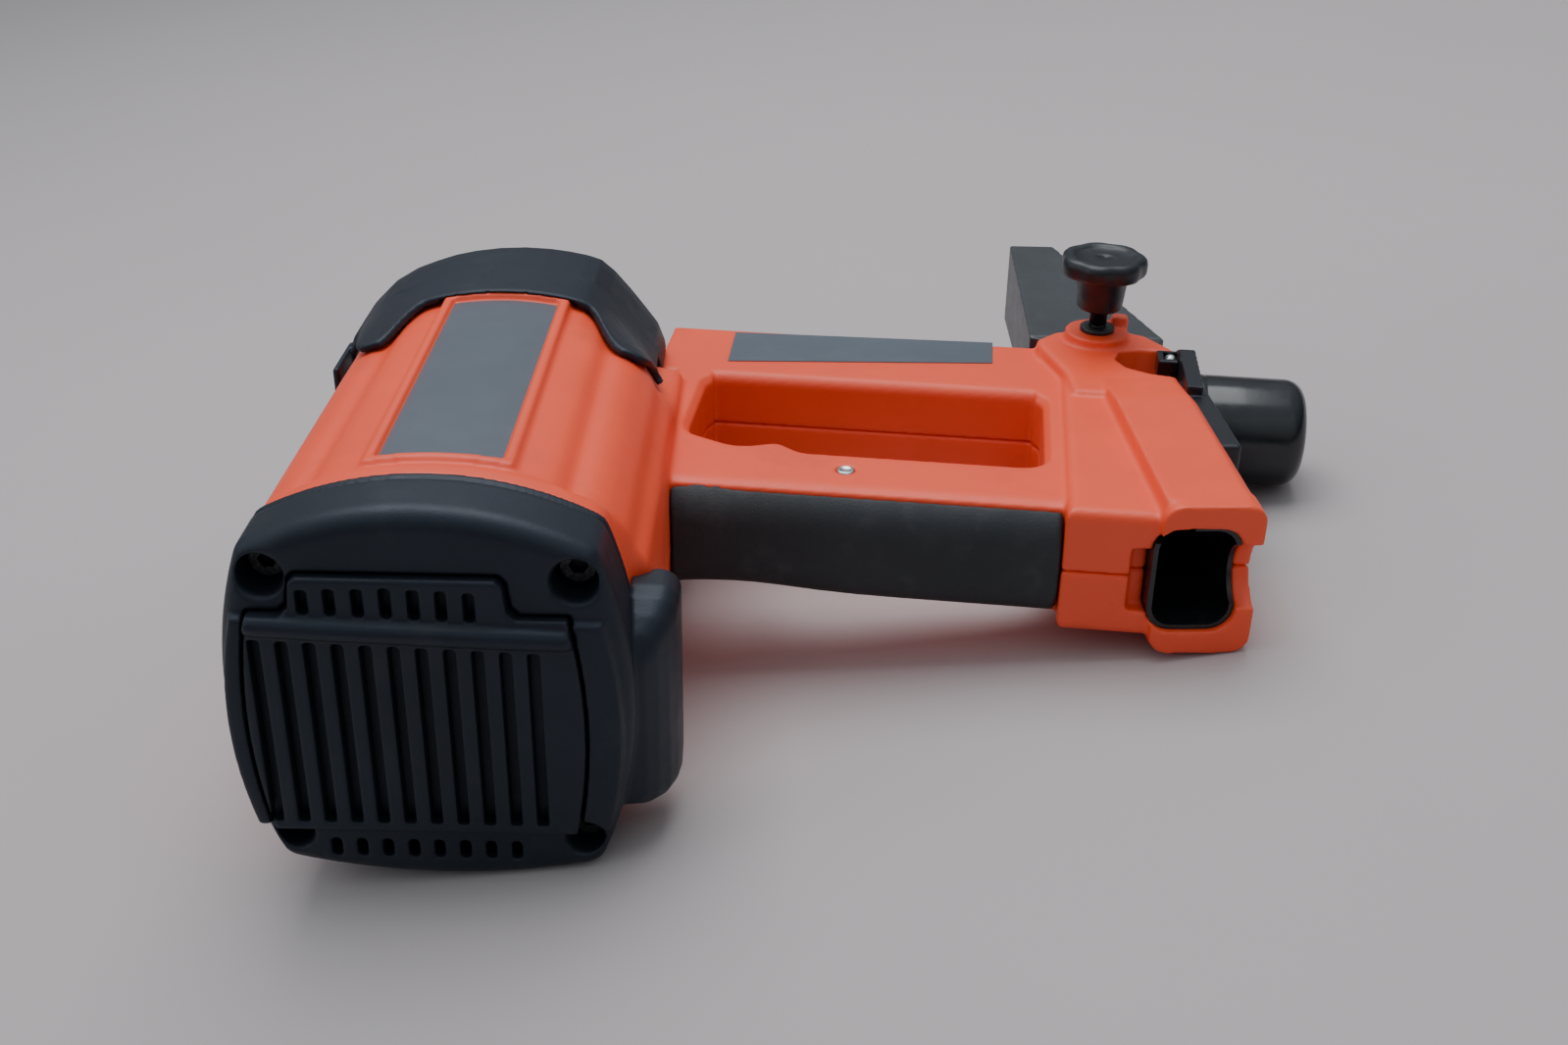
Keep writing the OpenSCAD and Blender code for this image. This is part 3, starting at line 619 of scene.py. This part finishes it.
d_recess = [(170, 30), (174, 22), (183, 17), (197, 14), (197, 41), (180, 41), (172, 38)]
scallop = round_box(-16.4, -20.4, 14.4, 20.4, 9, 6)
cuts = [
    arch_strip(20, DOME_R - 0.6, DOME_R + 8, 46.5, 182),                              # nameplate's bed
    rod((0, 29, 0), (0, 189.5, 0), 55, steps=72),                                     # combustion chamber
    rod((0, 188, 0), (0, 208, 0), 50, steps=72),                                      # nose flange's seat
    flared(window_loop(), HALF_T, 2.8),                                               # hand window
    rod((2, RAIL_V, 0), (200, RAIL_V, 0), 17.5, frame_m=HANDLE),                      # fuel can
    block((10, -92, -16.8), (146, -71, 18), HANDLE),                                  # inside of the grip
    block((20.1, -73, -7.4), (35.9, -50, 7.4), HANDLE),                               # trigger
    rod((*PAD, -30), (*PAD, 40), 3.4, frame_m=HANDLE, steps=24),                      # clamp screw
    block((149.5, 44, -8.5), (180, 75, 20.5), HANDLE),                                # support arm's tail
    prism(d_recess, 13.5, 40, HANDLE),                                                # finger recess by the door
    along_pocket(scallop, -110, -10),                                                 # battery pocket
    rod((25, -107.5, 1.5), (8, -107.5, 1.5), 12.5, frame_m=POCKET),                   # thumb notch
    block((-23, -112, -14), (-13, -96.5, 11), POCKET, bevel=1.5),                     # latch recess
    rod((*PIN, -24), (*PIN, 24), 3.5, frame_m=HANDLE, steps=24),                      # handle pin
    prism([(81, 226), (189, 229), (191, 251), (83, 257)], HALF_T - 0.5, HALF_T + 3),  # rail label's bed
]
SCREW_AT = [(20, 3.6), (80, 3.6), (135, 3.6), (50, 46.4), (120, 46.4), (60, -67.8), (130, -67.8), (155, -5)]
cuts.append(join([rod((u, v, -32), (u, v, -18.4), 3.6, frame_m=HANDLE, steps=24) for u, v in SCREW_AT]))
carve(housing, adds=adds, cuts=cuts)
left = copy(housing)
carve(housing, keep=block((-120, 0, 0.1), (330, 330, 120)))
carve(left, keep=block((-120, 0, -120), (330, 330, -0.1)))
mould(housing, "housing_right_skin", 0.85, 5, orange, "housing_right")
mould(left, "housing_left_skin", 0.85, 5, orange, "housing_left")

# ---------- rubber on the grip ----------
rubber_rings = []
for u in (4.7, 7, 10, 14, 19, 25, 32, 40, 50, 62, 76, 92, 110, 130, 146.4, 147.4):
    rubber_rings.append(grip_section(u, grip_loop(-0.1 - (0.9 if u > 147 else 0), 14), 3.6))
cover = loft("rubber", rubber_rings)
edge = [(-30, GRIP_EDGE - 3.4)]
for i in range(15):
    u = 3 * i - 4
    edge.append((u, GRIP_EDGE - 0.4 - 2.6 * math.exp(-(u / 8) ** 2) + 1.0 * math.exp(-((u - 22) / 9) ** 2)))
edge += [(160, GRIP_EDGE - 0.4), (160, -20), (-30, -20)]
carve(cover, cuts=[prism(edge, -40, 40, HANDLE), body_loft(0.35, 20, 230)])
mould(cover, "grip_rubber_skin", 0.8, 4, rubber, "grip_cover")

# ---------- battery liner ----------
liner = along_pocket(round_box(-16.3, -20.3, 14.3, 20.3, 9, 8), -103.6, -10.4)
liner_room = along_pocket(round_box(-14.6, -18.6, 12.6, 18.6, 7.6, 8), -110, -12.6)
thumb = rod((25, -107.5, 1.5), (9, -107.5, 1.5), 12.3, frame_m=POCKET)
corner_gap = block((-17.5, -107, 13.8), (-2.8, -96, 30), POCKET)
carve(liner, cuts=[liner_room, thumb, corner_gap])
settle(crease(liner), "battery_liner_tube", liner_black, "tool_body", "battery_liner")

# ---------- rear cap ----------
FILLET = 7.0


def cap_loft():
    """The cap with its rounded rear edge and the groove where it meets the housing."""
    rings = []
    for i in range(9):
        a = math.radians(90 * i / 8)
        rings.append(ring_at(CAP_R, 3.2 + FILLET * (1 - math.cos(a)) * 0.9, grow=-FILLET * (1 - math.sin(a))))
    for y in (14, 20, 25.2):
        rings.append(ring_at(CAP_R, y))
    for y, grow in ((26.0, -1.1), (26.6, -1.1), (27.4, -0.1), (29.8, -0.1)):
        rings.append(ring_at(CAP_R, y, grow))
    return loft("cap", rings)


def bowed_plan(x0, x1, z0, z1, bow, n=12):
    """Outline with straight top and bottom and sides that bulge outwards."""
    right, left_side = [], []
    for i in range(n + 1):
        t = i / n
        right.append((x1 + bow * (4 * t * (1 - t)) - bow, z0 + (z1 - z0) * t))
        left_side.append((x0 - bow * (4 * t * (1 - t)) + bow, z1 - (z1 - z0) * t))
    return right + left_side


def facing(outline, y0, y1, bevel=0.0):
    """An (x, z) outline extruded along the drive axis."""
    return prism(outline, -y1, -y0, ALONG_Y, bevel, 3)


def grille_plan(grow):
    """The grille's outline: a bowed panel with a tongue at the top."""
    top = 33
    sides = bowed_plan(-55 - grow, 48 + grow, -45.5 - grow, top + grow, 4)
    half = len(sides) // 2
    tongue = [(29, top), (26.5, top + 2.5), (25.5, 44), (23.5, 46)]
    tongue_left = [(-35.5, 46), (-37.5, 44), (-38.5, top + 2.5), (-41, top)]
    return (sides[:half] + [(x + grow, z + grow) for x, z in tongue]
            + [(x - grow, z + grow) for x, z in tongue_left] + sides[half:])


cap = cap_loft()
raised = facing(bowed_plan(-61, 59, -44, 31.5, 5), 0.9, 12, bevel=1.8)
SHOULDER = [(9.5, 61, -36, 10), (11.5, 65, -40.5, 16), (15, 68.5, -42.8, 20.5), (20, 71.8, -44, 24),
            (26, 73.8, -44.4, 27), (32, 74.6, -44.5, 28.2), (42.6, 74.3, -44.2, 27.8), (44, 73, -43, 26.6)]
shoulder = loft("shoulder", [[(x, y, z) for x, z in round_box(44, z0, x1, z1, 6.5)]
                             for y, x1, z0, z1 in SHOULDER])
cap_cuts = [facing(grille_plan(0.5), -3, 6.2)]
for sx in (-46, 46):
    for sz, r in ((-48.5, 6.0), (44.5, 7.0)):
        cap_cuts.append(rod((sx, -2, sz), (sx, 20.0, sz), r, r - 0.3, steps=40))
        mouth = [(r + 2.2, -3), (r + 2.2, 2.2), (r + 1.1, 3.2), (r - 0.2, 5.4), (0.5, 5.5)]
        cap_cuts.append(lathe(mouth, Matrix.Translation((sx, 0, sz)) @ Y_UP, 40))
for x in (-38.2, 27.4):
    cap_cuts.append(block((x, -2, -57.5), (x + 0.8, 4.3, -44)))
cap_cuts.append(join([block((-34.6 + i * 8.15, -2, -57), (-31.4 + i * 8.15, 20, -50.2)) for i in range(8)]))
cap_cuts.append(rod((0, 9, 0), (0, 31, 0), 50, steps=64))
cap_cuts.append(block((-33, 8, -58.5), (28, 31, -20)))
cap_cuts.append(body_loft(0.4, 29.9, 230))
carve(cap, adds=[raised, shoulder], cuts=cap_cuts)
mould(cap, "rear_cap_skin", 0.7, 4, charcoal, "rear_cap")

# ---------- grille ----------
panel = facing(grille_plan(-0.35), 0.6, 6.1, bevel=1.2)
bar_top = []
for i in range(21):
    t = i / 20
    bar_top.append((-54.5 + 102 * t, 0.8 + 0.8 * (2 * t - 1) ** 2, 29.6 - 3.4 * t))


def bar(path, r, n=14):
    """A round bar or wire along a path, with drawn-in ends."""
    rings = []
    for i, p in enumerate(path):
        before, after = Vector(path[max(0, i - 1)]), Vector(path[min(len(path) - 1, i + 1)])
        q = (after - before).to_track_quat("Z", "Y").to_matrix()
        rr = r * (0.55 if i in (0, len(path) - 1) else 1)
        rings.append([Vector(p) + q @ Vector((rr * math.cos(a), rr * math.sin(a), 0))
                      for a in (2 * math.pi * j / n for j in range(n))])
    return loft("bar", rings)


def slots(count, x0, pitch, half_w, low, high):
    """Upright slots through the grille; low and high give each one's ends."""
    return join([block((x0 + i * pitch - half_w, -3, low(i)), (x0 + i * pitch + half_w, 8, high(i)))
                 for i in range(count)])


ridge = bar(bar_top, 3.7)
long_slots = slots(11, -49.5, 8.27, 1.75, lambda i: -42, lambda i: 24.2 - 0.28 * i)
short_slots = slots(7, -33.5, 8.13, 1.6, lambda i: 33.4 - 0.25 * i, lambda i: 42.6 - 0.35 * abs(i - 3))
carve(panel, adds=[ridge], cuts=[long_slots, short_slots], keep=facing(grille_plan(-0.35), -6, 9))
mould(panel, "cap_grille_skin", 0.55, 3, charcoal, "cap_grille")

# ---------- front hood ----------
hood_rings = []
for y, inset in ((206.2, 0.3), (208, 0), (225, 0), (233, 0.6), (236.5, 1.9), (237.8, 3.2)):
    hood_rings.append([(x, y, z) for x, z in offset_loop(hood_loop, -inset)])
hood = loft("hood", hood_rings)
LID_GAP = 3.4  # from the body to the outside of the hood's thin lip
LID_AT = {y: soften([r + LID_GAP for r in body_at(y)], 6) for y in range(140, 216)}


def lip_at(x):
    """How far back the hood's lip reaches: over the dome, into the groove beside it and up the shoulder."""
    dip = 182.4 - 28 * smoothstep((abs(x) - 31) / 13)
    if x < 0:
        return dip + 42 * smoothstep((-x - 50) / 12)
    return dip + 20 * smoothstep((x - 48) / 8) - 6 * smoothstep((x - 57) / 3)


def lid_half(side):
    """The thin sheet over the dome, or under it, from the wavy lip forward into the hood's wall."""
    rings = []
    for i in range(STEPS):
        a = 2 * math.pi * i / STEPS
        x, z = LID_AT[180][i] * math.cos(a), LID_AT[180][i] * math.sin(a)
        if z * side < 33:
            continue
        lip = lip_at(x)
        room = 2.95 - 1.75 * smoothstep((28 - abs(x)) / 3)
        levels = [lip + 1.2 + (212 - lip) * k / 8 for k in range(9)]
        outer = [(y, LID_AT[min(215, round(y))][i]) for y in levels]
        inner_side = [(y, r - room) for y, r in outer[::-1]]
        section = [(lip, outer[0][1] - 0.7)] + outer + inner_side + [(lip, outer[0][1] - room)]
        rings.append([(r * math.cos(a), y, r * math.sin(a)) for y, r in section])
    return loft("lid", rings)


ear = block((-69.3, 184, 19), (-66.8, 212, 32.5), bevel=0.8)
inner = loft("inner", [[(x, y, z) for x, z in offset_loop(hood_loop, -3.0)] for y in (205.8, 240)])
rail_gap = block((-24, -30, -24.4), (60, 62, 24.4), HANDLE)
carve(hood, adds=[lid_half(1), lid_half(-1), ear], cuts=[inner, rail_gap])
mould(hood, "front_hood_skin", 0.7, 4, charcoal, "front_hood")

# ---------- fuel door, handle pin, knob and arm ----------
AXIS_U = HANDLE @ Matrix.Translation((0, RAIL_V, 0)) @ Matrix.Rotation(math.radians(90), 4, "Y")
cap_profile = [(16.6, 197), (18.6, 196.6), (19.1, 197.2), (19.1, 202.4), (20.9, 202.8), (21.7, 203.8),
               (21.7, 206), (21.4, 206.5), (21.6, 207.0), (21.6, 222)]
for i in range(11):
    a = math.radians(90 * i / 10)
    cap_profile.append((13.6 + 8.0 * math.cos(a), 238.4 + 8.0 * math.sin(a)))
cap_profile += [(12.0, 246.4), (11.0, 245.9), (4, 245.6), (0.05, 245.6), (0.05, 244.2), (16.6, 244.1)]
door = lathe(cap_profile, AXIS_U, 96, closed=True)
settle(door, "fuel_cap_shell", gloss_black, "fuel_cap", "fuel_cap")

plate = along_u([(-4, -26), (38, -26), (50, -16), (50, 18), (44, 25.5), (34, 30), (-4, 30)], 195.5, 201.9)
side_plate = block((17, -52, -22), (26.6, 8, 26), POCKET, bevel=1.4)
carve(side_plate, cuts=[rod((190, RAIL_V, 0), (230, RAIL_V, 0), 22.6, frame_m=HANDLE)])
carve(plate, adds=[side_plate], cuts=[rod((190, RAIL_V, 0), (210, RAIL_V, 0), 19.5, frame_m=HANDLE)])
mould(plate, "end_plate_skin", 0.5, 3, black, "end_plate")

pin_profile = [(0.05, -21.8), (3.3, -21.7), (3.3, 21.0), (3.0, 21.55), (2.2, 21.8), (1.9, 21.45), (0.05, 21.35)]
pin = lathe(pin_profile, HANDLE @ Matrix.Translation((*PIN, 0)), 40)
settle(pin, "handle_pin_head", steel, "tool_body", "handle_pin")

KNOB = HANDLE @ Matrix.Translation((*PAD, 0))


def lobes(a, r):
    """Seven shallow finger lobes, strongest round the rim."""
    depth = 0.06 * smoothstep((r - 9) / 6)
    return r * (1 - depth * (0.5 - 0.5 * math.cos(7 * a)) ** 1.4)


knob_profile = [(3.15, 33.2), (3.6, 33.2), (3.6, 39.0), (5.6, 39.4), (8.3, 40.0), (9.2, 41.0), (9.8, 47),
                (10.4, 52.6), (11.4, 53.9), (15.3, 54.5), (17.0, 55.2), (17.6, 56.6), (17.7, 59.6),
                (17.3, 61.3), (16.2, 62.4), (14.6, 62.8), (13.1, 62.6), (12.1, 62.0), (11.5, 61.6),
                (6, 61.5), (0.05, 61.5), (0.05, 47.2), (3.15, 47.1)]
knob = lathe(knob_profile, KNOB, 140, closed=True, shape=lobes)
settle(knob, "clamp_knob_head", black, "clamp_knob", "knob")

washer_profile = [(3.4, 30.05), (6.9, 30.05), (7.1, 30.3), (7.1, 31.6), (6.8, 31.95), (3.6, 31.95), (3.4, 31.7)]
washer = lathe(washer_profile, KNOB, 48, closed=True)
settle(washer, "clamp_washer", dark_steel, "tool_body", "knob_washer")
thread = []
for i in range(214):
    z = -7 + i * 0.25
    thread.append((2.9 if z >= 33 else 2.96 if i % 4 < 2 else 2.62, z))
screw = lathe([(0.05, -7)] + thread + [(0.05, 46.3)], KNOB, 32)
settle(screw, "clamp_screw", dark_steel, "clamp_knob", "knob_screw")

tail = [HANDLE @ Vector(p) for p in ((152, 63.4, 0), (152, 44.5, 0), (178, 44.5, 0), (178, 63.4, 0))]
arm_plan = [(208, 262), (214, 259)] + [(p.x, p.y) for p in tail]
arm_plan += [(262, 257), (265, 262), (228, 355), (208, 355)]
arm = prism(arm_plan, -8, 20)
slope = loft("slope", [[(208, y, 14), (x1, y, 14), (x1, y, top), (208, y, top)]
                       for y, x1, top in ((263, 264.4, 20.4), (355, 228, 28.8))])
arm_holes = [rod((217, 331, 6), (217, 357, 6), 3.2, steps=32),
             rod((*PAD, -20), (*PAD, 40), 3.3, frame_m=HANDLE, steps=32),
             lathe([(0.1, -12), (5.3, -12), (5.3, -3), (0.1, -3)], KNOB, 6)]
carve(arm, adds=[slope], cuts=arm_holes)
mould(arm, "support_arm_skin", 0.6, 3, arm_paint, "support_arm")

clip_body = carve(block((187, 27, 18.5), (195.2, 39, 27.2), HANDLE, bevel=0.8),
                  cuts=[block((189.3, 29.4, 21.9), (198, 36.6, 29), HANDLE, bevel=0.3)])
settle(clip_body, "detent_clip_body", gloss_black, "tool_body", "detent_clip", smooth=False)


# ---------- springs as true coils ----------
def coil(name, seat, r, wire, length, turns, node):
    """A compression spring with closed ends, standing on its seat."""
    path = []
    n = 26 * turns
    for i in range(n + 1):
        t = i / n
        e = min(1.0, max(0.0, (t * turns - 0.75) / (turns - 1.5)))
        a = 2 * math.pi * turns * t
        path.append(seat @ Vector((r * math.cos(a), r * math.sin(a), wire + (length - 2 * wire) * e)))
    return settle(bar(path, wire, 10), name, steel, "tool_body", node)


def shorten(spring):
    """The spring gets a mesh of its own."""
    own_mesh(spring)


PROBE_SEAT = Matrix.Translation((0, 200.3, 0)) @ Y_UP
TRIGGER_SEAT = HANDLE @ Matrix.Translation((28, -85.8, 0)) @ Y_UP
CAN_SEAT = AXIS_U @ Matrix.Translation((0, 0, 199.3))
PROBE_SPRING, TRIGGER_SPRING = 39.4, 11.6
probe_coil = coil("probe_return_spring", PROBE_SEAT, 14.2, 1.05, PROBE_SPRING, 8, "probe_spring")
coil("fuel_can_spring", CAN_SEAT, 12, 1.05, 46.4, 7, "can_spring")
trigger_coil = coil("trigger_return_spring", TRIGGER_SEAT, 3, 0.48, TRIGGER_SPRING, 6, "trigger_spring")
shorten(probe_coil)
shorten(trigger_coil)

# ---------- trigger ----------
trigger_plan = [(20.5, -73), (35.5, -73), (35.5, -53.5), (34.6, -52.2), (31.5, -54), (28, -54.8), (24.5, -54),
                (21.4, -52.2), (20.5, -53.5)]
finger = prism(trigger_plan, -7, 7, HANDLE, bevel=1.2)
plate_back = block((16.6, -73.9, -8.9), (39.4, -71.5, 8.9), HANDLE, bevel=0.4)
carve(finger, adds=[plate_back])
settle(crease(finger), "trigger_blade", black, "trigger", "trigger")

# ---------- floor, camera and lights ----------
paper = shader("paper", (0.475, 0.43, 0.425), 0.75, spec=0.25, patch=0.02, patch_scale=2.5,
               dirt=(0.40, 0.36, 0.34), dirt_amount=0.10, dirt_scale=5, grain=0.25, grain_scale=260)
sweep = []
for i in range(41):
    t = i / 40
    if t < 0.55:
        y, z = -1.6 + 3.4 * t / 0.55, 0.0
    else:
        a = math.radians(80 * (t - 0.55) / 0.45)
        y, z = 1.8 + 1.6 * math.sin(a), 1.6 * (1 - math.cos(a))
    sweep.append((y, z))
cols = 24
row = cols + 1
floor_v = [(-3 + 6 * j / cols, y, z) for y, z in sweep for j in range(row)]
floor_f = [(i * row + j, i * row + j + 1, (i + 1) * row + j + 1, (i + 1) * row + j)
           for i in range(40) for j in range(cols)]
floor = make("floor", floor_v, floor_f)
for p in floor.data.polygons:
    p.use_smooth = True
floor.data.materials.append(paper)

cam_data = bpy.data.cameras.new("camera")
cam = bpy.data.objects.new("camera", cam_data)
bpy.context.scene.collection.objects.link(cam)
cam_data.sensor_width = 36.0
cam_data.lens = 40.3407
cam_data.clip_start, cam_data.clip_end = 0.01, 20
right = Vector((0.99977, 0.01478, 0.01521))
down = Vector((0.02037, -0.46953, -0.88268))
forward = Vector((-0.00591, 0.88279, -0.46973))
view = Matrix.Identity(4)
for k, axis in enumerate((right, -down, -forward)):
    for r in range(3):
        view[r][k] = axis[r]
eye = PLACE @ Vector((109.4, -436.6, 300.0))
cam.matrix_world = Matrix.Translation(eye) @ TURN @ view
bpy.context.scene.camera = cam


def area(name, where, aim, size, power, colour):
    """A square soft light that faces a point."""
    data = bpy.data.lights.new(name, "AREA")
    data.energy, data.size, data.color = power, size, colour
    o = bpy.data.objects.new(name, data)
    o.location = where
    o.rotation_euler = (Vector(aim) - Vector(where)).to_track_quat("-Z", "Y").to_euler()
    bpy.context.scene.collection.objects.link(o)


area("overhead", (0.02, 0.42, 1.65), (0, 0.02, 0.03), 1.4, 23.5, (0.96, 0.98, 1.0))
area("window", (-1.5, -0.2, 0.9), (0, 0, 0.06), 1.2, 3.2, (0.93, 0.96, 1.0))
area("fill", (0.9, -1.3, 0.9), (0, 0, 0.05), 1.4, 1.0, (1.0, 0.97, 0.95))
world = bpy.data.worlds.new("world")
bpy.context.scene.world = world
world.use_nodes = True
sky = world.node_tree
around = sky.nodes.new("ShaderNodeTexCoord")
split = sky.nodes.new("ShaderNodeSeparateXYZ")
ramp = sky.nodes.new("ShaderNodeMapRange")
for key, value in (("From Min", 0.0), ("From Max", 0.9), ("To Min", 0.04), ("To Max", 0.78)):
    ramp.inputs[key].default_value = value
sky.links.new(around.outputs["Generated"], split.inputs["Vector"])
sky.links.new(split.outputs["Z"], ramp.inputs["Value"])
sky.links.new(ramp.outputs["Result"], sky.nodes["Background"].inputs["Strength"])
sky.nodes["Background"].inputs["Color"].default_value = (0.84, 0.92, 1.0, 1)
